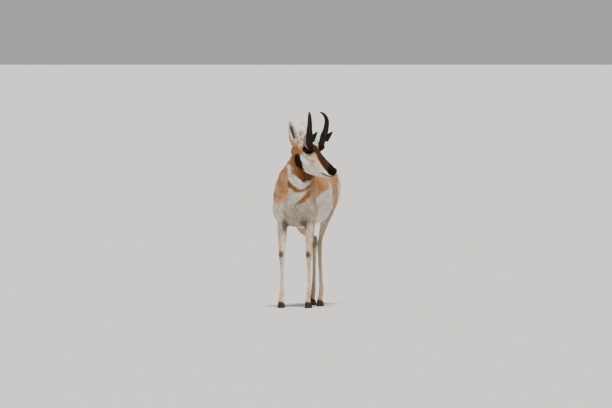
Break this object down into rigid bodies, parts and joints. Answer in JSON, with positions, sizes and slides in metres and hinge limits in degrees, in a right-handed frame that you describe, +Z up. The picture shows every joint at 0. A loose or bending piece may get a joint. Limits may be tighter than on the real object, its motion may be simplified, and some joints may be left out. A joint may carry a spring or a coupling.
{
  "type": "pronghorn",
  "caption": "Life-size standing pronghorn buck, head turned to its left: pronged horns, upright ears, slim legs, short tail; rests on its hooves.",
  "frame": {"origin": "floor, under the middle of the bounding box", "axes": "+Z up; the body faces -Y, and +X is the animal's left side"},
  "size_m": [0.4684, 1.0534, 1.2274],
  "materials": {
    "coat": "coarse hair, tan above, white below, brown face and throat bands",
    "rump": "long white hair",
    "horn": "dark, finely grooved sheath",
    "hoof": "dark, finely grooved sheath",
    "eye": "wet, dark brown"
  },
  "bodies": {
    "root": {"head": "coat", "neck": "coat", "torso": "coat", "tail": "rump", "ear_left": "coat", "eye_left": "eye", "horn_left": "horn", "fore_leg_left": "coat", "fore_shank_left": "coat", "hind_leg_left": "coat", "hind_shank_left": "coat", "fore_hoof_left_outer": "hoof", "fore_hoof_left_inner": "hoof", "hind_hoof_left_outer": "hoof", "hind_hoof_left_inner": "hoof", "ear_right": "coat", "eye_right": "eye", "horn_right": "horn", "fore_leg_right": "coat", "fore_shank_right": "coat", "hind_leg_right": "coat", "hind_shank_right": "coat", "fore_hoof_right_outer": "hoof", "fore_hoof_right_inner": "hoof", "hind_hoof_right_outer": "hoof", "hind_hoof_right_inner": "hoof"}
  },
  "joints": []
}
